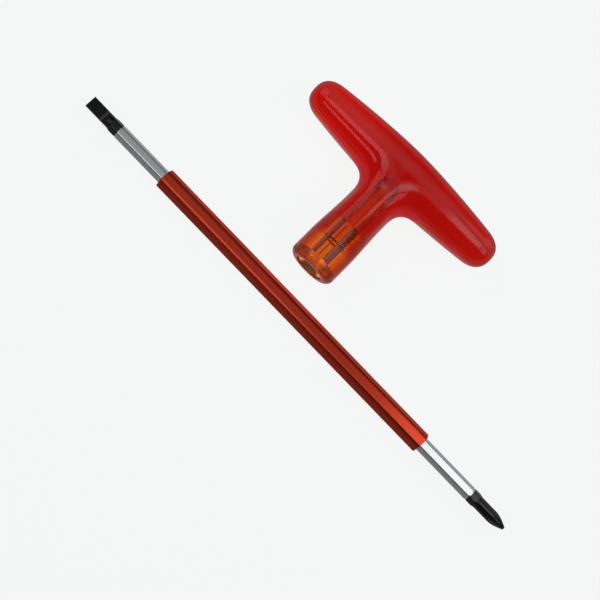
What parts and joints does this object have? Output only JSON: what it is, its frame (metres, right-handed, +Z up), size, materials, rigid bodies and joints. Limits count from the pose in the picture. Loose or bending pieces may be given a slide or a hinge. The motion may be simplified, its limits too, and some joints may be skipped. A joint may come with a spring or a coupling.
{
  "type": "t-handle screwdriver",
  "caption": "Clear red T-shaped driver handle with a hexagon socket, laid beside its blade: a red hexagon sleeve holding a slotted bit and a cross bit.",
  "frame": {"origin": "under the middle of the layout's box, on the surface that the handle and the blade lie on", "axes": "+X along the blade toward the cross tip, +Y from the blade to the handle's crossbar, +Z up"},
  "size_m": [0.2732, 0.099, 0.026],
  "materials": {
    "clear_red": "polished, see-through",
    "clear_amber": "polished, see-through",
    "brass": "turned",
    "spring_steel": "drawn wire",
    "red_anodised": "anodised, drawn lengthwise",
    "bare_aluminium": "sawn",
    "chromed_steel": "chromed, with blackened tips"
  },
  "bodies": {
    "handle": {"t_handle": "clear_red", "mouth_ring": "brass", "front_socket": "clear_amber", "rear_socket": "clear_amber", "socket_spring": "spring_steel"},
    "blade": {"sleeve": "red_anodised", "slotted_end_spring": "spring_steel", "cross_end_spring": "spring_steel", "bit_stop": "bare_aluminium"},
    "slotted_bit": {"slotted_bit": "chromed_steel"},
    "cross_bit": {"cross_bit": "chromed_steel"}
  },
  "joints": [
    {"name": "blade_draw", "type": "slide", "parent": "handle", "child": "blade", "axis": [0.0192, -0.9998, 0], "range_m": [0, 0.0545]},
    {"name": "slotted_bit_pull", "type": "slide", "parent": "blade", "child": "slotted_bit", "axis": [-1, 0, 0], "range_m": [0, 0.055]},
    {"name": "cross_bit_pull", "type": "slide", "parent": "blade", "child": "cross_bit", "axis": [1, 0, 0], "range_m": [0, 0.055]}
  ]
}
